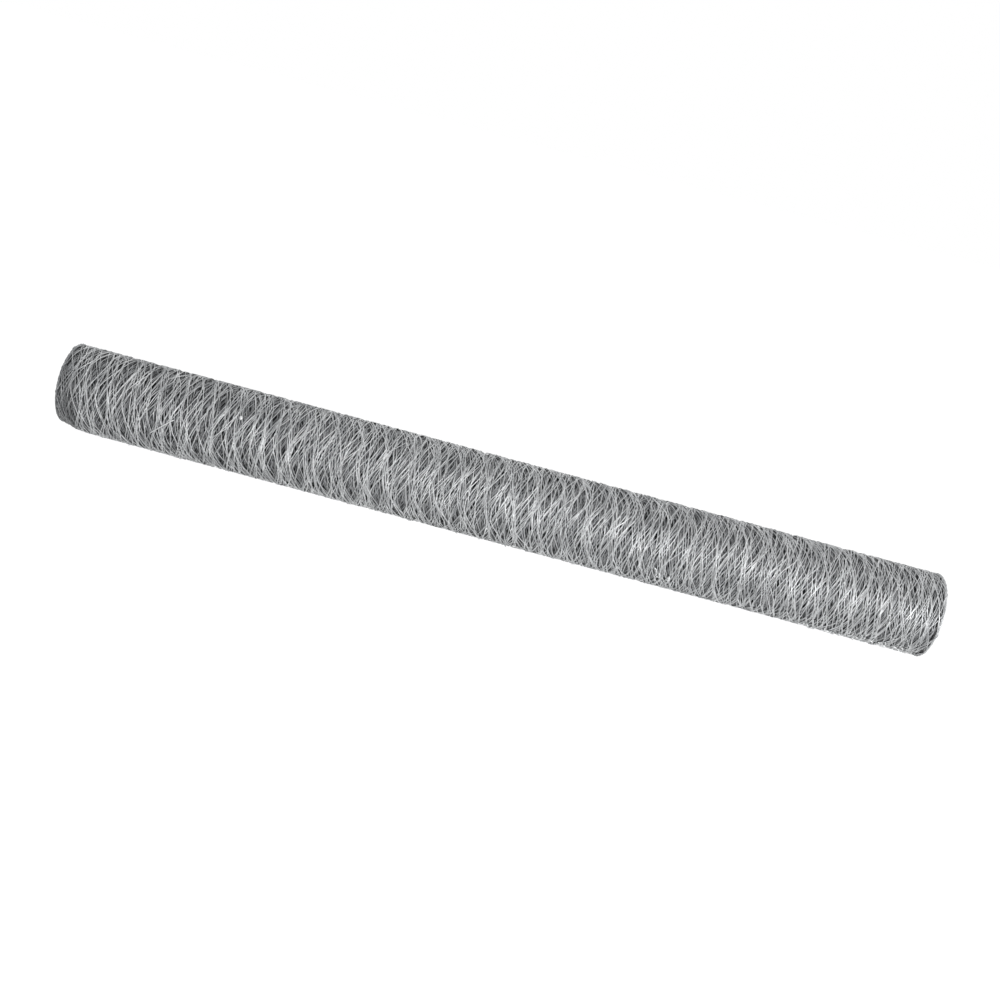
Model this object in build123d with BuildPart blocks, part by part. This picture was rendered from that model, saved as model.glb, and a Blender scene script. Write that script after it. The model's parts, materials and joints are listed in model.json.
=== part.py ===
# Roll of galvanised chicken wire, as it lies on the ground.
#
# Hexagonal netting is wound tightly on itself round an open bore, with nothing inside it.
# The roll lies along X. The origin is the centre of the bore at the middle of the roll.
# The winding is a spiral drawn as half circles on two centres, a quarter of the pitch to
# either side of the axis: each half turn is smaller than the one outside it by half a pitch
# and meets it without a corner.
# The netting's free edge is the small step along the outside. The twisted edge wires stand
# proud at both ends, where they show the turns. One end is drawn in on its lower side.
# The meshes themselves are surface detail and aren't cut through these solids.

import os
from math import cos, pi, radians, sin

from build123d import *

# Driving dimensions in millimetres and degrees
netting_width = 900.0  # the roll's length: 34 meshes, a little over 25 mm each
netting_length = 10000.0  # wound up in the roll
roll_diameter = 87.0
bore_diameter = 22.0
turns_per_ridge = 4  # of the edge wires, which read as one ridge
ridge_share = 0.6  # of its pitch that a ridge fills
edge_wire_height = 2.0  # how far the edge wires stand out of each end
edge_wire_margin = 0.5  # kept clear at the outside and at the bore
free_edge_angle = -76.0  # round the roll from the front (-Y) towards the top
drawn_in_depth = 5.0  # how far the low side of the -X end is pressed in
drawn_in_length = 27.0  # over this much of the roll

# Sizes that follow from them
bore_radius = bore_diameter / 2
pitch = pi * (roll_diameter**2 - bore_diameter**2) / 4 / netting_length
outer_radius = roll_diameter / 2 + pitch / 4
ridge_pitch = turns_per_ridge * pitch
ridge_width = ridge_share * ridge_pitch
body_end = netting_width / 2 - edge_wire_height
drawn_in_shift = drawn_in_depth / 2

# The section seen from the +X end, with its first axis towards the free edge
step_direction = (0, -cos(radians(free_edge_angle)), sin(radians(free_edge_angle)))
section = Plane(origin=(0, 0, 0), x_dir=step_direction, z_dir=(-1, 0, 0))


def half_turns(largest, smallest, pitch, centre_x=0.0):
    """Centre, radius and start angle of each half turn, from the outside in."""
    turns = []
    radius = largest
    while radius >= smallest:
        side = 1 if len(turns) % 2 == 0 else -1
        turns.append(((centre_x + side * pitch / 4, 0), radius, 90 - 90 * side))
        radius -= pitch / 2
    return turns


with BuildPart() as wire_roll:
    # The straight body: its outline is the last full turn, with the free edge as a step
    full_turn = half_turns(outer_radius, outer_radius - pitch / 2, pitch)
    with BuildSketch(section.offset(-body_end)):
        with BuildLine():
            for centre, radius, start in full_turn:
                CenterArc(centre, radius, start, 180)
            Line((outer_radius + pitch / 4, 0), (outer_radius - 3 * pitch / 4, 0))
        make_face()
    extrude(amount=2 * body_end - drawn_in_length)

    # The drawn-in end: the same outline gets smaller and moves away from its low side, in
    # a curve that starts level with the body
    for share in (0.0, 0.5, 1.0):
        shift = drawn_in_shift * share**2
        pressed_radius = outer_radius - shift
        turn = half_turns(pressed_radius, pressed_radius - pitch / 2, pitch, -shift)
        with BuildSketch(section.offset(body_end - drawn_in_length * (1 - share))):
            with BuildLine():
                arcs = [CenterArc(centre, radius, start, 180) for centre, radius, start in turn]
                Line(arcs[0] @ 0, arcs[1] @ 1)
            make_face()
    loft()

    # The open bore
    with BuildSketch(section.offset(-body_end)):
        Circle(bore_radius)
    extrude(amount=2 * body_end, mode=Mode.SUBTRACT)

    # The edge wires, spiralling in from just under the outside to just short of the bore
    for side, shift in ((-1, 0.0), (1, drawn_in_shift)):
        largest = outer_radius - ridge_pitch / 4 - shift - edge_wire_margin
        smallest = bore_radius + ridge_pitch / 4 + shift + edge_wire_margin + ridge_width
        edge_turns = half_turns(largest, smallest, ridge_pitch, -shift)
        with BuildSketch(section.offset(side * body_end)):
            with BuildLine():
                outside = [CenterArc(c, r, start, 180) for c, r, start in edge_turns]
                inside = [
                    CenterArc(c, r - ridge_width, start, 180) for c, r, start in edge_turns
                ]
                Line(outside[0] @ 0, inside[0] @ 0)
                Line(outside[-1] @ 1, inside[-1] @ 1)
            make_face()
        extrude(amount=side * edge_wire_height)

wire_roll.part.label = "wire_roll"
os.makedirs("parts", exist_ok=True)
export_step(wire_roll.part, "parts/wire_roll.step")
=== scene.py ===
"""Roll of chicken wire: hexagonal netting wound up wire by wire, on a pale floor."""

import json
import math

import bpy
import numpy as np
from mathutils import Euler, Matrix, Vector


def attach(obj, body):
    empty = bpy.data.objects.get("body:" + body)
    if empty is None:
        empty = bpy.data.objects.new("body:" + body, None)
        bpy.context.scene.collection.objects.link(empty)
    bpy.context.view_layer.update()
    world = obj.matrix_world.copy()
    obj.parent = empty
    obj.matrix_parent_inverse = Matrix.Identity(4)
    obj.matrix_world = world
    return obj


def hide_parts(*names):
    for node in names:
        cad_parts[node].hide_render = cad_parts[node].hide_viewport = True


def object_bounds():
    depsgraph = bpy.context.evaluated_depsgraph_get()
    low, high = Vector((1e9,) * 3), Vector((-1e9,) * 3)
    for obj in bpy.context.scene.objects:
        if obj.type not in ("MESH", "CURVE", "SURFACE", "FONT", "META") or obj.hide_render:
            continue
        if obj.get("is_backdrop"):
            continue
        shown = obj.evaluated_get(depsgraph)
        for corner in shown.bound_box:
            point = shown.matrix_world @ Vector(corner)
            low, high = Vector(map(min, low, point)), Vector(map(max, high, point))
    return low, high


bl_info = {
    "name": "Chicken Wire Roll",
    "version": (1, 0, 0),
    "blender": (4, 5, 0),
    "location": "View3D > Sidebar > Wire Roll",
    "description": "Winds a roll of hexagonal wire netting, wire by wire",
    "category": "Add Mesh",
}

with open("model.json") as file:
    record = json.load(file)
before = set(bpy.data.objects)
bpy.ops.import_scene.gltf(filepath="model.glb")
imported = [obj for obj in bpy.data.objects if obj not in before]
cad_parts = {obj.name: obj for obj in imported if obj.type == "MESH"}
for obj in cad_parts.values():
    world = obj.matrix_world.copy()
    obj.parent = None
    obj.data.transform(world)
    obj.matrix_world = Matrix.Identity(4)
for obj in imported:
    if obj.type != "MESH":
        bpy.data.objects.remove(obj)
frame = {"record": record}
cad_low, cad_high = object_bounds()
bore = next(m for m in frame["record"]["mounts"] if m["name"] == "bore")

# Sizes


class NettingSizes(bpy.types.PropertyGroup):
    """Sizes of the netting and of the roll."""

    width: bpy.props.FloatProperty(
        name="Width",
        description="Width of the netting, which is the roll's length",
        default=cad_high.x - cad_low.x,
        unit="LENGTH",
    )
    outer_radius: bpy.props.FloatProperty(
        name="Outer radius",
        description="From the roll's axis to the outside of the last turn at its free edge",
        default=0.04405,
        unit="LENGTH",
    )
    bore_radius: bpy.props.FloatProperty(
        name="Bore radius",
        description="Radius of the open hole through the roll",
        default=bore["dims"]["r_mm"] / 1000,
        unit="LENGTH",
    )
    wound_length: bpy.props.FloatProperty(
        name="Wound length",
        description="Length of netting wound up in the roll",
        default=10.0,
        unit="LENGTH",
    )
    meshes: bpy.props.IntProperty(
        name="Meshes across",
        description="Number of meshes across the netting's width",
        default=34,
        min=2,
    )
    row_pitch: bpy.props.FloatProperty(
        name="Row pitch",
        description="Distance along the netting from one row of twists to the next",
        default=0.0495,
        unit="LENGTH",
    )
    twist_length: bpy.props.FloatProperty(
        name="Twist length",
        description="Length of the twist that joins two wires",
        default=0.012,
        unit="LENGTH",
    )
    half_turns: bpy.props.IntProperty(
        name="Half turns",
        description="Half turns in each twist, an odd number",
        default=3,
        min=1,
    )
    wire_diameter: bpy.props.FloatProperty(
        name="Wire diameter",
        description="Diameter of the netting's wires",
        default=0.0008,
        unit="LENGTH",
    )
    edge_lay: bpy.props.FloatProperty(
        name="Edge lay",
        description="Length of one full turn of the twisted edge wires",
        default=0.014,
        unit="LENGTH",
    )
    edge_inset: bpy.props.FloatProperty(
        name="Edge inset",
        description="From the end of the roll to the middle of its edge wires",
        default=0.0009,
        unit="LENGTH",
    )
    wander: bpy.props.FloatProperty(
        name="Wander",
        description="How far the turns stray along the roll at mid-length",
        default=0.0065,
        unit="LENGTH",
    )
    telescoping: bpy.props.FloatProperty(
        name="Telescoping",
        description="How far the turns stray along the roll at its ends",
        default=0.0005,
        unit="LENGTH",
    )
    skew: bpy.props.FloatProperty(
        name="Skew",
        description="How far the rows of twists run ahead or behind across the width",
        default=0.006,
        unit="LENGTH",
    )
    sway: bpy.props.FloatProperty(
        name="Sway",
        description="How far the turns run out of line and back, three times round the roll",
        default=0.0024,
        unit="LENGTH",
    )
    looseness: bpy.props.FloatProperty(
        name="Looseness",
        description="How far single twists sit from their regular places",
        default=0.0017,
        unit="LENGTH",
    )
    sway_phase: bpy.props.FloatProperty(
        name="Sway phase",
        description="Where round the roll the turns run out of line",
        default=math.radians(-134),
        subtype="ANGLE",
    )
    free_edge_angle: bpy.props.FloatProperty(
        name="Free edge angle",
        description="Where the netting ends, round the roll from the front towards the top",
        default=math.radians(-76),
        subtype="ANGLE",
    )
    loose_turns: bpy.props.IntProperty(
        name="Loose turns",
        description="Number of outer turns that lie outside the tightly packed ones",
        default=16,
        min=1,
    )
    packed_depth: bpy.props.FloatProperty(
        name="Packed depth",
        description="How far the tightly packed turns lie under the outside of the roll",
        default=0.0028,
        unit="LENGTH",
    )
    packed_inset: bpy.props.FloatProperty(
        name="Packed inset",
        description="How far the tightly packed turns stop short of the roll's ends",
        default=0.004,
        unit="LENGTH",
    )
    drawn_in_depth: bpy.props.FloatProperty(
        name="Drawn-in depth",
        description="How far the low side of the left end is pressed in",
        default=0.006,
        unit="LENGTH",
    )
    drawn_in_length: bpy.props.FloatProperty(
        name="Drawn-in length",
        description="Length of roll over which the left end is pressed in",
        default=0.034,
        unit="LENGTH",
    )


class NettingFinish(bpy.types.PropertyGroup):
    """Colours and lights."""

    bright_zinc: bpy.props.FloatVectorProperty(
        name="Bright zinc",
        description="Colour of clean galvanising",
        default=(0.89, 0.9, 0.905),
        subtype="COLOR",
        size=3,
        min=0,
        max=1,
    )
    dull_zinc: bpy.props.FloatVectorProperty(
        name="Dull zinc",
        description="Colour of galvanising that has weathered",
        default=(0.36, 0.37, 0.38),
        subtype="COLOR",
        size=3,
        min=0,
        max=1,
    )
    # Painted shade: the colour that wires deep between the turns are darkened towards
    deep_shade: bpy.props.FloatVectorProperty(
        name="Deep zinc",
        description="Colour of galvanising deep between the turns",
        default=(0.065, 0.067, 0.07),
        subtype="COLOR",
        size=3,
        min=0,
        max=1,
    )
    floor_colour: bpy.props.FloatVectorProperty(
        name="Floor",
        description="Colour of the floor",
        default=(0.3, 0.3, 0.3),
        subtype="COLOR",
        size=3,
        min=0,
        max=1,
    )
    roughness: bpy.props.FloatProperty(
        name="Roughness",
        description="Roughness of clean galvanising",
        default=0.35,
        min=0,
        max=1,
    )
    key_power: bpy.props.FloatProperty(
        name="Key light",
        description="Power of the soft lamp to the right of the camera, in watts",
        default=44.0,
        min=0,
    )
    ambient: bpy.props.FloatProperty(
        name="Ambient light",
        description="Strength of the light from all round",
        default=0.3,
        min=0,
    )


# Meshes


def set_smooth(mesh):
    """Shades all faces of a mesh smooth."""
    mesh.polygons.foreach_set("use_smooth", np.ones(len(mesh.polygons), dtype=bool))


def set_brightness(mesh, brightness):
    """Stores how bright the zinc is at each point of a mesh, from 0 to 1."""
    layer = mesh.attributes.new("brightness", "FLOAT", "POINT")
    layer.data.foreach_set("value", brightness.astype(np.float32))


def tube_mesh(name, paths, outward, radius, sides, brightness):
    """Round bars along many paths at once, with each path point's brightness as an attribute.

    Formula: at each point of a path, the ring is radius times (cosine of the ring angle
    times the direction away from the roll's axis, made square to the path, plus sine of
    the ring angle times the direction square to both). Neighbouring rings are joined by
    four-sided faces, and the first and last ring are closed by a flat face.
    """
    count, length, _ = paths.shape
    along = np.gradient(paths, axis=1)
    along /= np.linalg.norm(along, axis=2, keepdims=True)
    across = np.cross(along, outward)
    across /= np.linalg.norm(across, axis=2, keepdims=True)
    up = np.cross(across, along)
    # A few flat sides look thinner than a round bar, so they get its mean width
    radius = radius * math.pi / (sides * math.sin(math.pi / sides))
    angle = 2 * math.pi * np.arange(sides) / sides
    ring = np.cos(angle)[:, None] * up[:, :, None] + np.sin(angle)[:, None] * across[:, :, None]
    points = paths[:, :, None] + radius * ring
    index = np.arange(count * length * sides).reshape(count, length, sides)
    after = np.roll(index, -1, axis=2)
    walls = np.stack(
        [index[:, :-1], after[:, :-1], after[:, 1:], index[:, 1:]], axis=-1
    ).reshape(-1, 4)
    caps = np.concatenate([index[:, 0, ::-1], index[:, -1]])
    corners = np.concatenate([walls.ravel(), caps.ravel()])
    corner_counts = np.concatenate([np.full(len(walls), 4), np.full(len(caps), sides)])
    starts = np.concatenate([[0], np.cumsum(corner_counts)[:-1]])
    mesh = bpy.data.meshes.new(name)
    mesh.vertices.add(points.size // 3)
    mesh.vertices.foreach_set("co", points.ravel().astype(np.float32))
    mesh.loops.add(len(corners))
    mesh.loops.foreach_set("vertex_index", corners.astype(np.int32))
    mesh.polygons.add(len(corner_counts))
    mesh.polygons.foreach_set("loop_start", starts.astype(np.int32))
    set_smooth(mesh)
    mesh.update(calc_edges=True)
    set_brightness(mesh, np.repeat(brightness, sides))
    return mesh


def add_piece(name, mesh, material):
    """Puts a mesh into the scene as a piece of the roll, in place of the plain solid."""
    piece = bpy.data.objects.new(name, mesh)
    bpy.context.scene.collection.objects.link(piece)
    mesh.materials.append(material)
    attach(piece, "root")
    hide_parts("wire_roll")


# The winding

NESTED_TURNS = 10  # the outermost ones, which lie in each other's meshes
NESTED_DROP = 0.6  # how far they get smaller in all, in wire radii
END_SPREAD = 0.65  # how much of their even spacing the turns have at the very ends
END_POWER = 140  # confines that to the last few millimetres
START_GAP = 0.001  # kept clear of twists and edge wires at the free edge
FIRST_ROW = 0.004  # from the free edge to the first row of twists
LAST_ROW = 0.03  # kept clear of twists at the netting's inner end
TABLE_ROWS = 600  # rows of twists in the random tables, more than the netting has
ROW_UNEVENNESS = 0.06  # how much longer or shorter a row may be, in row pitches
TWIST_CIRCLE = 1.04  # from a twist's middle to the middle of its wires, in wire radii
EDGE_CIRCLE = 3.2  # the same where a wire goes round the edge wires
EDGE_TWIST_CIRCLE = 1.05  # the same for the two edge wires themselves
TWIST_PRESSED = 0.65  # how far the middle of a twist is pressed inwards, in wire radii
EASING = 0.28  # the share of a wire's slope that eases in and out
CLEAN = 0.5  # brightness of plain zinc


def ripple(values, seed, count, longest, shortest):
    """Waves along the values, at random lengths between shortest and longest.

    Formula: the sum of the sines of 2 pi values / length + phase, times the square root
    of 2 / count, which gives it a spread of 1.
    """
    rng = np.random.default_rng(seed)
    number = 2 * math.pi / rng.uniform(shortest, longest, count)
    phase = rng.uniform(0, 2 * math.pi, count)
    return math.sqrt(2 / count) * np.sin(values[..., None] * number + phase).sum(axis=-1)


def place(sizes, x, turned, radius):
    """Points at an angle from the free edge and a radius, and their outward directions.

    Formula: radius times (cosine of the angle times the direction of the free edge, plus
    sine of the angle times the direction square to it). At the left end the section
    shrinks and moves away from its low side, as the square of the distance into the
    drawn-in length, and less towards the bore, which stays straight. Nothing goes below
    the floor.
    """
    angle = sizes.free_edge_angle
    to_edge = np.array([0, -math.cos(angle), math.sin(angle)])
    square = np.array([0, to_edge[2], -to_edge[1]])
    outward = np.cos(turned)[..., None] * to_edge + np.sin(turned)[..., None] * square
    inside = np.maximum(1 - (x - cad_low.x) / sizes.drawn_in_length, 0) ** 2
    from_bore = (radius - sizes.bore_radius) / (sizes.outer_radius - sizes.bore_radius)
    press = sizes.drawn_in_depth / 2 * inside * np.clip(from_bore, 0, 1)
    points = outward * (radius - press)[..., None] - press[..., None] * to_edge
    points[..., 0] = x
    floor = cad_low.z + sizes.wire_diameter / 2
    points[..., 2] = np.maximum(points[..., 2], floor)
    return points, outward


def wind(sizes, x, s, lift):
    """Places flat netting on the roll, and returns the points and their outward directions.

    Formula: the winding is a spiral whose radius falls by one pitch in each turn. The
    angle at a distance s along the netting is the one at which the spiral's own length
    is s: (first radius - square root of (first radius squared - pitch s / pi)) times
    2 pi / pitch. The radius starts and ends as that spiral's does, but falls more slowly
    over the loose turns, most of all over the outermost, which nest, and faster over the
    packed ones. At the roll's ends it goes most of the way back to the even spiral. Lift
    is added to it. The turns stray along the roll and sway three times round it.
    """
    wire = sizes.wire_diameter / 2
    first = sizes.outer_radius - 2 * wire
    last = sizes.bore_radius + 2 * wire
    pitch = math.pi * (first**2 - last**2) / sizes.wound_length
    turned = (first - np.sqrt(first**2 - pitch * s / math.pi)) * 2 * math.pi / pitch
    turns = turned / (2 * math.pi)
    even = first - pitch * turns
    nested = first - NESTED_DROP * wire
    pressed = sizes.outer_radius - sizes.packed_depth + wire
    corners = (0, NESTED_TURNS, sizes.loose_turns, (first - last) / pitch)
    packed = np.interp(turns, corners, (first, nested, pressed, last))
    at_end = END_SPREAD * np.clip(abs(2 * x / sizes.width), 0, 1) ** END_POWER
    radius = packed + at_end * (even - packed) + lift
    # Turns stray along the roll, more at mid-length than at its ends
    middle = 1 - (2 * x / sizes.width) ** 4
    strayed = ripple(s + 0.3 * x, seed=3, count=9, longest=1.6, shortest=0.25)
    x = x + sizes.wander * middle * strayed
    x = x + sizes.telescoping * ripple(s, seed=4, count=9, longest=0.5, shortest=0.1)
    x = x - sizes.sway * middle * np.sin(3 * turned + sizes.sway_phase)
    return place(sizes, x, turned, radius)


def wire_paths(sizes, start, rows, twist_steps, slope_steps):
    """Flat paths of wires, given where each starts and the rows of twists that it passes.

    Formula: the twists of a row are two half columns apart, and those of the next row lie
    half way between them. Each wire moves one half column a row and turns back at the
    edges. In a twist it runs round the column's line on a small circle, through an odd
    number of half turns, so that it leaves on the far side; at an edge it makes a full
    turn round the edge wires and goes back. Between twists it slopes over to the next
    column, straight in the middle and easing in and out at its ends.
    """
    columns = 2 * sizes.meshes
    wire = sizes.wire_diameter / 2
    span = sizes.width - 2 * sizes.edge_inset
    step = (start[:, None] + rows) % (2 * columns)
    column = np.minimum(step, 2 * columns - step)
    arrives_right = (step - 1) % (2 * columns) < columns
    edge = (column == 0) | (column == columns)
    rng = np.random.default_rng(11)
    # Single twists sit off their places both ways, but keep to the edges
    loose = rng.standard_normal((TABLE_ROWS, columns + 1, 2)).clip(-2, 2)
    loose = sizes.looseness * loose
    loose[:, (0, -1), 0] = 0
    shift = loose[rows, column]
    stretch = np.cumsum(rng.uniform(-1, 1, TABLE_ROWS)) * ROW_UNEVENNESS * sizes.row_pitch
    centre = -span / 2 + column * span / columns + shift[..., 0]
    begin = rows * sizes.row_pitch + stretch[rows] + 2 * shift[..., 1] + FIRST_ROW
    skewed = ripple(centre + 0.11 * rows, seed=7, count=9, longest=0.9, shortest=0.25)
    begin = begin + sizes.skew * skewed
    begin = np.clip(begin, START_GAP, sizes.wound_length - sizes.twist_length)
    circle = np.where(edge, EDGE_CIRCLE * wire, TWIST_CIRCLE * wire)
    angle_in = np.where(arrives_right, math.pi, 0.0)
    turn = np.where(edge, 2, sizes.half_turns) * math.pi
    sense = np.where(rows % 2 == 0, 1.0, -1.0)
    f = np.arange(twist_steps + 1) / twist_steps
    angle = angle_in[..., None] + (sense * turn)[..., None] * f
    twist_x = centre[..., None] + circle[..., None] * np.cos(angle)
    # Twists are pressed inwards, so that they hardly stand out
    pressed = TWIST_PRESSED * wire * np.sin(math.pi * f)
    twist_lift = circle[..., None] * np.sin(angle) - pressed
    twist_s = begin[..., None] + sizes.twist_length * f
    q = np.arange(1, slope_steps) / slope_steps
    ease = (1 - EASING) * q + EASING * (1 - np.cos(math.pi * q)) / 2

    def between(values, share):
        """The values at a share of the way from each twist's end to the next one's start."""
        return values[:, :-1, -1:] * (1 - share) + values[:, 1:, :1] * share

    slope_x = between(twist_x, ease)
    slope_lift = between(twist_lift, q)
    slope_s = between(twist_s, q)
    count = len(start)

    def join(twist, slope):
        """Twists and slopes in turn as one path for each wire, closed by the last twist."""
        body = np.concatenate([twist[:, :-1], slope], axis=2).reshape(count, -1)
        return np.concatenate([body, twist[:, -1, :1]], axis=1)

    return join(twist_x, slope_x), join(twist_s, slope_s), join(twist_lift, slope_lift)


def all_wires(sizes, first_row, last_row):
    """Starts and rows of all the wires, from one row of twists to another."""
    start = np.arange(1, 4 * sizes.meshes, 2)
    rows = np.arange(first_row, last_row + 1)
    return start, np.broadcast_to(rows, (len(start), len(rows)))


def edge_wires(sizes, first_row, last_row, reach):
    """Starts and rows of the wires' short runs to both edges and back.

    Every second row of twists has one wire that turns back at the left edge and one at
    the right. Each run begins and ends so many columns from the edge as the reach says.
    """
    row = np.arange((first_row + reach) | 1, last_row - reach, 2)
    start = np.concatenate([-row, 2 * sizes.meshes - row]) % (4 * sizes.meshes)
    rows = np.concatenate([row, row])[:, None] + np.arange(-reach, reach + 1)
    return start, rows


def total_rows(sizes):
    """How many rows of twists the netting has."""
    return int((sizes.wound_length - LAST_ROW) / sizes.row_pitch)


class OBJECT_OT_wind_netting(bpy.types.Operator):
    """Winds the netting: its outer turns from end to end, and the others near both ends"""

    bl_idname = "wire_roll.wind_netting"
    bl_label = "Wind netting"
    bl_options = {"REGISTER", "UNDO"}

    def execute(self, context):
        sizes = context.scene.netting_sizes
        material = zinc_material(context.scene.netting_finish, sizes)
        girth = 2 * math.pi * sizes.outer_radius
        # First and last turn, number of pieces, then steps in a twist, steps in a slope
        # and sides of a wire: fine wires outermost, plainer ones where those cover them
        plans = ((0, 4, 2, (12, 4, 6)), (4, sizes.loose_turns, 3, (8, 3, 4)))
        batches = []
        for begin, end, pieces, detail in plans:
            # Counted by the outside girth, so two turns more are made than are loose
            bounds = np.linspace(begin, end, pieces + 1) * girth / sizes.row_pitch
            bounds = bounds.round().astype(int)
            for low, high in zip(bounds[:-1], bounds[1:]):
                name = f"netting_{len(batches) + 1}"
                batches.append((name, all_wires(sizes, low, high), detail))
        # The turns inside those are made as short runs at both ends
        reach = 2
        ends = edge_wires(sizes, bounds[-1] - reach, total_rows(sizes), reach)
        batches.append(("netting_ends", ends, (8, 2, 4)))
        for name, (start, rows), (twist_steps, slope_steps, sides) in batches:
            x, s, lift = wire_paths(sizes, start, rows, twist_steps, slope_steps)
            points, outward = wind(sizes, x, s, lift)
            # Clean and dull stretches of a few centimetres, others on each wire
            apart = 3.7 * np.arange(len(x))[:, None]
            patches = ripple(s + apart, seed=17, count=6, longest=0.12, shortest=0.03)
            brightness = np.clip(CLEAN + 0.22 * patches, 0, 1)
            wire = sizes.wire_diameter / 2
            mesh = tube_mesh(name, points, outward, wire, sides, brightness)
            add_piece(name, mesh, material)
        return {"FINISHED"}


class OBJECT_OT_pack_turns(bpy.types.Operator):
    """Makes the tightly packed inner turns, as one tube whose wires are relief"""

    bl_idname = "wire_roll.pack_turns"
    bl_label = "Pack turns"
    bl_options = {"REGISTER", "UNDO"}

    def execute(self, context):
        sizes = context.scene.netting_sizes
        # A closed profile of radius and place along the roll, turned round the roll's axis
        outside = sizes.outer_radius - sizes.packed_depth
        inside = sizes.bore_radius + 2 * sizes.wire_diameter
        half = sizes.width / 2 - sizes.packed_inset
        stations, spokes = 91, 128
        along = half * np.linspace(-1, 1, stations)
        radius = np.repeat([outside, inside], stations)
        x = np.concatenate([along, along[::-1]])
        turned = -2 * math.pi * np.arange(spokes) / spokes
        shape = (spokes, 2 * stations)
        points, _ = place(
            sizes,
            np.broadcast_to(x, shape),
            np.broadcast_to(turned[:, None], shape),
            np.broadcast_to(radius, shape),
        )
        index = np.arange(points.size // 3).reshape(shape)
        beside = np.roll(index, -1, axis=1)
        after = np.roll(index, -1, axis=0)
        faces = np.stack([index, beside, np.roll(after, -1, axis=1), after], axis=-1)
        mesh = bpy.data.meshes.new("packed_turns")
        mesh.from_pydata(points.reshape(-1, 3), [], faces.reshape(-1, 4))
        set_smooth(mesh)
        mesh.set_sharp_from_angle(angle=math.radians(50))
        material = packed_material(context.scene.netting_finish, sizes)
        add_piece("packed_turns", mesh, material)
        return {"FINISHED"}


class OBJECT_OT_twist_edges(bpy.types.Operator):
    """Twists the pair of edge wires at both ends of the roll"""

    bl_idname = "wire_roll.twist_edges"
    bl_label = "Twist edge wires"
    bl_options = {"REGISTER", "UNDO"}

    def execute(self, context):
        sizes = context.scene.netting_sizes
        material = zinc_material(context.scene.netting_finish, sizes)
        wire = sizes.wire_diameter / 2
        end = total_rows(sizes) * sizes.row_pitch + sizes.twist_length
        s = np.arange(START_GAP, end, sizes.edge_lay / 4)
        circle = EDGE_TWIST_CIRCLE * wire
        # Two wires run round a common line, half a turn apart
        angle = 2 * math.pi * s / sizes.edge_lay + np.array([[0], [math.pi]])
        # The left end's wires get the dull colour, as painted shade along that end
        for name, side, clean in (
            ("edge_wires_left", -1, 0.0),
            ("edge_wires_right", 1, CLEAN),
        ):
            x = side * (sizes.width / 2 - sizes.edge_inset) + circle * np.cos(angle)
            lift = circle * np.sin(angle)
            points, outward = wind(sizes, x, np.broadcast_to(s, x.shape), lift)
            brightness = np.full(x.shape, clean)
            mesh = tube_mesh(name, points, outward, wire, 4, brightness)
            add_piece(name, mesh, material)
        return {"FINISHED"}


class OBJECT_OT_cut_ends(bpy.types.Operator):
    """Adds the cut ends of the wires along the netting's free edge, bent over as hooks"""

    bl_idname = "wire_roll.cut_ends"
    bl_label = "Cut wire ends"
    bl_options = {"REGISTER", "UNDO"}

    def execute(self, context):
        sizes = context.scene.netting_sizes
        material = zinc_material(context.scene.netting_finish, sizes)
        x, s, lift = wire_paths(sizes, *all_wires(sizes, 0, 1), twist_steps=10, slope_steps=4)
        rng = np.random.default_rng(23)
        count = len(x)
        run = rng.uniform(0.003, 0.008, count)[:, None]
        lean = rng.uniform(-0.9, 0.9, count)[:, None]
        curl = rng.uniform(0.2, 1.1, count)[:, None]
        # Each end leaves its twist along the netting, leans to one side and curls outwards
        f = np.linspace(0, 1, 9)[None, :]
        end_x = x[:, :1] + run * lean * f**1.5
        end_s = s[:, :1] - run * (f - 0.25 * curl * f**3)
        end_lift = lift[:, :1] + 0.0012 * curl * f**2
        furthest = -0.006  # past the free edge
        points, outward = wind(sizes, end_x, np.maximum(end_s, furthest), end_lift)
        wire, plain = sizes.wire_diameter / 2, np.full(end_x.shape, CLEAN)
        mesh = tube_mesh("cut_ends", points, outward, wire, 6, plain)
        add_piece("cut_ends", mesh, material)
        return {"FINISHED"}


def bead_mesh(sizes, x, turned, radius):
    """A bead of zinc on the outside of the roll, at an angle from the free edge.

    Formula: the sine of p times the cosine of q along the roll, 1.3 times the sine of p
    times the sine of q round it and 0.8 times the cosine of p outwards, all times the
    radius, with p from pole to pole and q all round.
    """
    centre, outward = place(
        sizes, np.array([x]), np.array([turned]), np.array([sizes.outer_radius])
    )
    rings, spokes = 11, 20
    p = math.pi * np.arange(1, rings + 1)[:, None] / (rings + 1)
    q = 2 * math.pi * np.arange(spokes)[None, :] / spokes
    along = np.array([1.0, 0, 0])
    around = np.cross(outward[0], along)
    ball = np.stack([np.sin(p) * np.cos(q), 1.3 * np.sin(p) * np.sin(q)], axis=-1)
    ball = ball.reshape(-1, 2) @ np.stack([along, around])
    ball = ball + 0.8 * np.repeat(np.cos(p), spokes)[:, None] * outward
    poles = np.stack([0.8 * outward[0], -0.8 * outward[0]])
    points = centre + radius * np.concatenate([ball, poles])
    index = np.arange(rings * spokes).reshape(rings, spokes)
    beside = np.roll(index, -1, axis=1)
    walls = np.stack([index[:-1], index[1:], beside[1:], beside[:-1]], axis=-1)
    upper, lower = index.size, index.size + 1
    top = np.stack([np.full(spokes, upper), index[0], beside[0]], axis=-1)
    bottom = np.stack([np.full(spokes, lower), beside[-1], index[-1]], axis=-1)
    faces = [*walls.reshape(-1, 4).tolist(), *top.tolist(), *bottom.tolist()]
    mesh = bpy.data.meshes.new("zinc_bead")
    mesh.from_pydata(points, [], faces)
    set_smooth(mesh)
    set_brightness(mesh, np.ones(len(points)))
    return mesh


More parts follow.
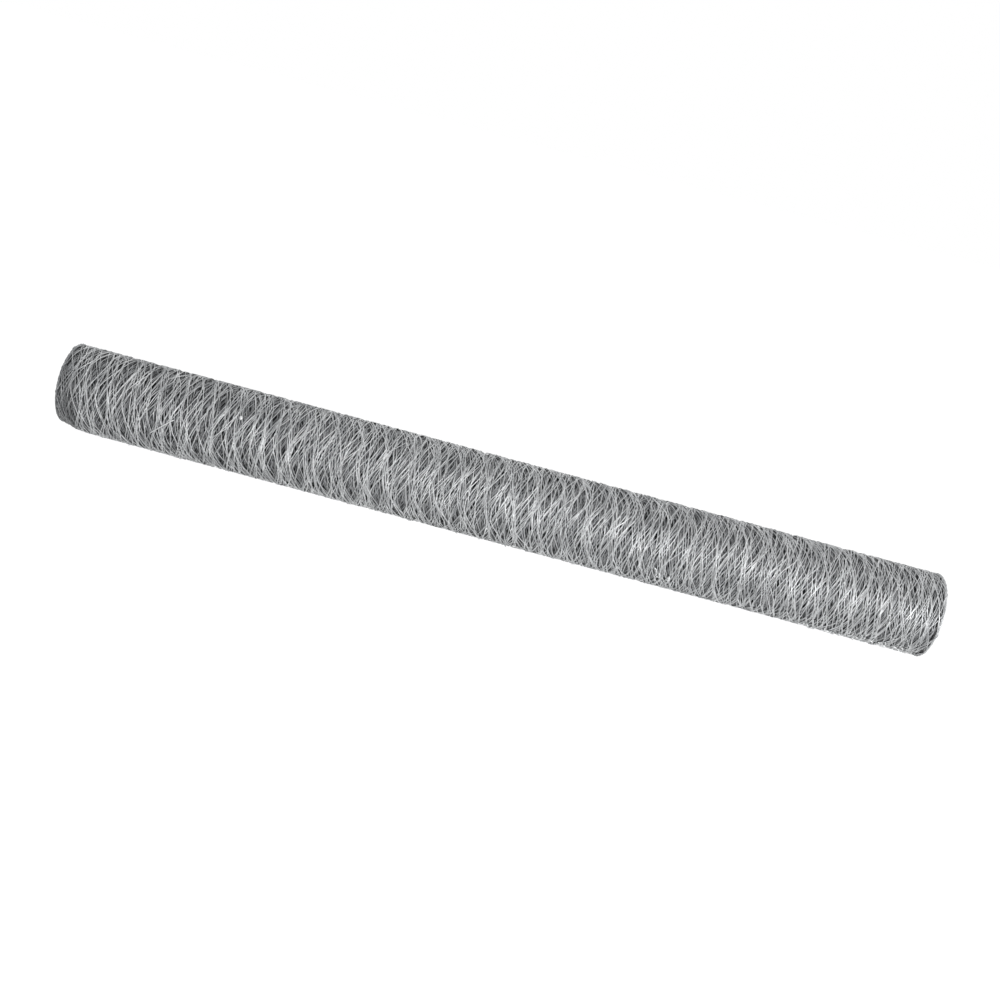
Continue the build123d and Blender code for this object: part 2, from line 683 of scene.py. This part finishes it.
class OBJECT_OT_stray_wires(bpy.types.Operator):
    """Adds the loose bright ends of wire on the outside, and a bead of zinc"""

    bl_idname = "wire_roll.stray_wires"
    bl_label = "Stray wires"
    bl_options = {"REGISTER", "UNDO"}

    def execute(self, context):
        sizes = context.scene.netting_sizes
        material = zinc_material(context.scene.netting_finish, sizes)
        rng = np.random.default_rng(41)
        f = np.linspace(0, 1, 17)
        # One long end across the meshes near the left end
        x = [-0.351 + 0.022 * f]
        s = [0.0455 + 0.0195 * f]
        lift = [0.0007 + 0.0005 * np.sin(math.pi * f)]
        # Short curled ends low on the front, most of them near the right end
        near_right, nearer_middle = (0.32, 0.43, 26), (0.172, 0.19, 4)
        for begin_x in [*rng.uniform(*near_right), *rng.uniform(*nearer_middle)]:
            run, turn = rng.uniform(0.005, 0.012), rng.uniform(-1.1, 1.1)
            bend = rng.uniform(1, 4.5)
            height = (0.012, 0.022) if begin_x > near_right[0] else (0.032, 0.038)
            begin_s = rng.uniform(*height)
            heading = turn + bend * f
            x.append(begin_x + run * np.cumsum(np.cos(heading)) / len(f))
            s.append(begin_s + run * np.cumsum(np.sin(heading)) / len(f))
            lift.append(0.001 + rng.uniform(0.0003, 0.0010) * np.sin(math.pi * f**0.8))
        points, outward = wind(sizes, np.array(x), np.array(s), np.array(lift))
        bright, thick = np.ones(points.shape[:2]), 0.6 * sizes.wire_diameter
        mesh = tube_mesh("stray_wires", points, outward, thick, 8, bright)
        add_piece("stray_wires", mesh, material)
        add_piece("zinc_bead", bead_mesh(sizes, -0.266, 1.948, 0.0017), material)
        return {"FINISHED"}


# Materials


def feed(tree, target, value):
    """Links a value to a node's input, or sets the input to a plain number or colour."""
    if isinstance(value, Value):
        tree.links.new(value.socket, target)
    else:
        target.default_value = value


class Value:
    """A shader socket that can be used in sums."""

    def __init__(self, tree, socket):
        self.tree = tree
        self.socket = socket

    def math(self, operation, *values):
        node = self.tree.nodes.new("ShaderNodeMath")
        node.operation = operation
        for target, value in zip(node.inputs, values):
            feed(self.tree, target, value)
        return Value(self.tree, node.outputs[0])

    def __add__(self, other):
        return self.math("ADD", self, other)

    def __radd__(self, other):
        return self.math("ADD", other, self)

    def __sub__(self, other):
        return self.math("SUBTRACT", self, other)

    def __rsub__(self, other):
        return self.math("SUBTRACT", other, self)

    def __mul__(self, other):
        return self.math("MULTIPLY", self, other)

    def __rmul__(self, other):
        return self.math("MULTIPLY", other, self)

    def __pow__(self, other):
        return self.math("POWER", self, other)

    def clamp(self):
        """The value kept between 0 and 1."""
        value = self.math("ADD", self, 0.0)
        value.socket.node.use_clamp = True
        return value

    def absolute(self):
        """The value without its sign."""
        return self.math("ABSOLUTE", self)

    def larger(self, other):
        """The larger of the value and another."""
        return self.math("MAXIMUM", self, other)

    def zigzag(self, length):
        """The value folded to and fro between 0 and the length."""
        return self.math("PINGPONG", self, length)


class Shader:
    """The nodes of one material or world."""

    def __init__(self, owner):
        owner.use_nodes = True
        self.tree = owner.node_tree
        self.tree.nodes.clear()

    def node(self, kind, settings=(), numbered=(), **inputs):
        """Adds a node with its settings and the values or links of its inputs.

        Inputs that share a name with others are given by their number instead.
        """
        node = self.tree.nodes.new(kind)
        for name, value in dict(settings).items():
            setattr(node, name, value)
        for name, value in inputs.items():
            feed(self.tree, node.inputs[name.replace("_", " ")], value)
        for number, value in dict(numbered).items():
            feed(self.tree, node.inputs[number], value)
        return node

    def out(self, node, name):
        """One of a node's outputs, by name or number."""
        return Value(self.tree, node.outputs[name])

    def mix_colour(self, share, first, second):
        """A share of the second colour with the rest of the first."""
        first, second = (c if isinstance(c, Value) else (*c, 1) for c in (first, second))
        colours = {6: first, 7: second}
        node = self.node("ShaderNodeMix", {"data_type": "RGBA"}, colours, Factor=share)
        return self.out(node, 2)


def zinc_material(finish, sizes):
    """Galvanised wire: zinc in brighter and duller patches, finely mottled and uneven.

    Wires that lie deeper in the roll are darker: painted shade, standing for the shade between
    the turns.
    """
    if "galvanised_zinc" in bpy.data.materials:
        return bpy.data.materials["galvanised_zinc"]
    material = bpy.data.materials.new("galvanised_zinc")
    shader = Shader(material)
    where = shader.out(shader.node("ShaderNodeTexCoord"), "Object")

    def noise(scale, detail):
        """Smooth random values over the surface, from 0 to 1."""
        node = shader.node("ShaderNodeTexNoise", Vector=where, Scale=scale, Detail=detail)
        return shader.out(node, "Fac")

    layer = shader.node("ShaderNodeAttribute", {"attribute_name": "brightness"})
    patches = ((noise(55.0, 3.0) - 0.35) * 3.3).clamp()
    mottle = noise(620.0, 2.0)
    parts = shader.node("ShaderNodeSeparateXYZ", Vector=where)
    x, y, z = (shader.out(parts, axis) for axis in "XYZ")
    # Painted shade towards the left end: the left quarter is duller, and dark sooner under its
    # surface
    darkened = (-0.5 - 5 * x).clamp()
    clean = 0.75 * shader.out(layer, "Fac") + 0.3 * patches + 0.6 * mottle
    clean = (clean - 0.32 - 0.06 * darkened).clamp()
    colour = shader.mix_colour(clean, finish.dull_zinc, finish.bright_zinc)
    # Painted shade: wires deep in the roll are mixed towards the deep shade colour
    # Darker from half way down to the packed turns, but less so near the ends
    depth = (sizes.outer_radius - (y * y + z * z) ** 0.5) * (2 / sizes.packed_depth)
    depth = depth + 0.35 * darkened - 1
    from_end = (sizes.width / 2 - x.absolute()) * (1 / sizes.drawn_in_length)
    deep = depth.clamp() * (0.4 + 0.6 * from_end.clamp())
    colour = shader.mix_colour(deep, colour, finish.deep_shade)
    bump = shader.node("ShaderNodeBump", Strength=0.25, Distance=0.0001, Height=mottle)
    surface = shader.node(
        "ShaderNodeBsdfPrincipled",
        Base_Color=colour,
        Metallic=0.8,
        Roughness=finish.roughness + 0.28 * (1 - clean),
        Normal=shader.out(bump, "Normal"),
    )
    shader.node("ShaderNodeOutputMaterial", Surface=shader.out(surface, "BSDF"))
    return material


def packed_material(finish, sizes):
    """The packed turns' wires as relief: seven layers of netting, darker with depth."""
    material = bpy.data.materials.new("packed_zinc")
    shader = Shader(material)
    where = shader.out(shader.node("ShaderNodeTexCoord"), "Object")
    parts = shader.node("ShaderNodeSeparateXYZ", Vector=where)
    stray = shader.node("ShaderNodeTexNoise", Vector=where, Scale=14.0, Detail=1.0)
    stray = shader.out(stray, "Fac") - 0.5
    x = shader.out(parts, "X")
    angle = x.math("ARCTAN2", shader.out(parts, "Y"), shader.out(parts, "Z"))
    s = sizes.outer_radius * angle
    # Each layer stands for several turns of netting, so its meshes are so much smaller
    turns, layers = 3, 7
    column = sizes.width / sizes.meshes / 2 / turns
    pitch, twist = sizes.row_pitch / turns, sizes.twist_length / turns
    rng = np.random.default_rng(31)
    relief = None
    for layer in range(layers):
        # A wire keeps to its column in a twist and slopes over to the next one after it
        ahead, aside = rng.uniform(0, 2 * pitch), rng.uniform(0, 2 * column)
        sway = rng.uniform(-0.03, 0.03) * stray
        along = ((s + sway + ahead).zigzag(pitch) - twist / 2) * (1 / (pitch - twist))
        wire = along.clamp() * column
        beside = (x + sway + aside).zigzag(column) - wire
        ridge = (1 - beside.absolute() * (1.6 / sizes.wire_diameter)).clamp()
        # Painted shade: each deeper layer is darker
        level = (6 * ridge).clamp() * (1 - 0.8 * layer / layers) + 0.12 * ridge
        relief = level if relief is None else relief.larger(level)
    # Painted shade: nearly black between the painted wires, for the dark depth under them
    shade_between_wires = (0.02, 0.021, 0.022)
    colour = shader.mix_colour((relief**1.6).clamp(), shade_between_wires, finish.dull_zinc)
    bump = shader.node("ShaderNodeBump", Strength=0.6, Distance=0.0004, Height=relief)
    surface = shader.node(
        "ShaderNodeBsdfPrincipled",
        Base_Color=colour,
        Metallic=0.9,
        Roughness=finish.roughness + 0.2,
        Normal=shader.out(bump, "Normal"),
    )
    shader.node("ShaderNodeOutputMaterial", Surface=shader.out(surface, "BSDF"))
    return material


# The stage


def seen_directly(shader):
    """1 for rays that come from the camera, or from it by a reflection or through glass."""
    path = shader.node("ShaderNodeLightPath")
    seen = shader.out(path, "Is Camera Ray").larger(shader.out(path, "Is Glossy Ray"))
    return seen.larger(shader.out(path, "Is Transmission Ray"))


class OBJECT_OT_set_stage(bpy.types.Operator):
    """Sets the floor, the light and the camera"""

    bl_idname = "wire_roll.set_stage"
    bl_label = "Set stage"
    bl_options = {"REGISTER", "UNDO"}

    def execute(self, context):
        finish = context.scene.netting_finish
        scene = context.scene
        scene.view_settings.view_transform = "Standard"

        # Camera: square to the roll, and turned about its line of sight
        distance = 1.153
        elevation = math.radians(20)
        roll = math.radians(15.036)
        sensor, focal_length = 36, 1.133  # the focal length is in sensor widths
        back = Vector((0, -math.cos(elevation), math.sin(elevation)))
        camera = bpy.data.objects.new("camera", bpy.data.cameras.new("camera"))
        scene.collection.objects.link(camera)
        camera.data.sensor_width = sensor
        camera.data.lens = sensor * focal_length
        camera.data.clip_start = 0.05
        camera.data.clip_end = 50
        camera.location = back * distance
        aim = back.to_track_quat("Z", "Y")
        camera.rotation_euler = (aim.to_matrix() @ Euler((0, 0, roll)).to_matrix()).to_euler()
        scene.camera = camera

        # Floor, which shows white to the camera but still takes the roll's shadow
        mesh = bpy.data.meshes.new("floor")
        reach = 8.0
        z = min(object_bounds()[0].z, cad_low.z)
        corners = [(-reach, -reach, z), (reach, -reach, z), (reach, reach, z), (-reach, reach, z)]
        mesh.from_pydata(corners, [], [(0, 1, 2, 3)])
        floor = bpy.data.objects.new("floor", mesh)
        scene.collection.objects.link(floor)
        floor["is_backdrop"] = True
        material = bpy.data.materials.new("pale_floor")
        shader = Shader(material)
        matt = shader.node("ShaderNodeBsdfDiffuse", Color=(*finish.floor_colour, 1))
        glow = shader.node("ShaderNodeEmission", Strength=0.97 * seen_directly(shader))
        both = {0: shader.out(matt, "BSDF"), 1: shader.out(glow, "Emission")}
        both = shader.node("ShaderNodeAddShader", numbered=both)
        shader.node("ShaderNodeOutputMaterial", Surface=shader.out(both, "Shader"))
        mesh.materials.append(material)

        # World: white where it is seen, plain ambient light everywhere else
        world = bpy.data.worlds.new("studio")
        scene.world = world
        shader = Shader(world)
        lights = {
            number: shader.out(
                shader.node("ShaderNodeBackground", Color=(1, 1, 1, 1), Strength=strength),
                "Background",
            )
            for number, strength in ((1, finish.ambient), (2, 1.0))
        }
        mixed = shader.node("ShaderNodeMixShader", numbered=lights, Fac=seen_directly(shader))
        shader.node("ShaderNodeOutputWorld", Surface=shader.out(mixed, "Shader"))

        # Key lamp: soft, well to the right of the camera and lower than it
        lamp = bpy.data.lights.new("key_lamp", "AREA")
        lamp.shape = "DISK"
        lamp.size = 1.3
        lamp.energy = finish.key_power
        key = bpy.data.objects.new("key_lamp", lamp)
        scene.collection.objects.link(key)
        key.location = back * 2.0 + Vector((1.5, 0, -0.5))
        key.rotation_euler = key.location.to_track_quat("Z", "Y").to_euler()
        return {"FINISHED"}


# The panel and the run


class VIEW3D_PT_wire_roll(bpy.types.Panel):
    """Sizes, finish and steps of the roll"""

    bl_label = "Wire Roll"
    bl_idname = "VIEW3D_PT_wire_roll"
    bl_space_type = "VIEW_3D"
    bl_region_type = "UI"
    bl_category = "Wire Roll"

    def draw(self, context):
        layout = self.layout
        for group in (context.scene.netting_sizes, context.scene.netting_finish):
            box = layout.box()
            for name in group.__annotations__:
                box.prop(group, name)
        for operator in OPERATORS:
            layout.operator(operator.bl_idname)


OPERATORS = (
    OBJECT_OT_wind_netting,
    OBJECT_OT_pack_turns,
    OBJECT_OT_twist_edges,
    OBJECT_OT_cut_ends,
    OBJECT_OT_stray_wires,
    OBJECT_OT_set_stage,
)
CLASSES = (NettingSizes, NettingFinish, *OPERATORS, VIEW3D_PT_wire_roll)


def register():
    for cls in CLASSES:
        bpy.utils.register_class(cls)
    bpy.types.Scene.netting_sizes = bpy.props.PointerProperty(type=NettingSizes)
    bpy.types.Scene.netting_finish = bpy.props.PointerProperty(type=NettingFinish)


def unregister():
    del bpy.types.Scene.netting_finish
    del bpy.types.Scene.netting_sizes
    for cls in reversed(CLASSES):
        bpy.utils.unregister_class(cls)


def main():
    """Makes the roll and its stage."""
    register()
    bpy.ops.wire_roll.wind_netting()
    bpy.ops.wire_roll.pack_turns()
    bpy.ops.wire_roll.twist_edges()
    bpy.ops.wire_roll.cut_ends()
    bpy.ops.wire_roll.stray_wires()
    bpy.ops.wire_roll.set_stage()


if __name__ == "__main__":
    main()
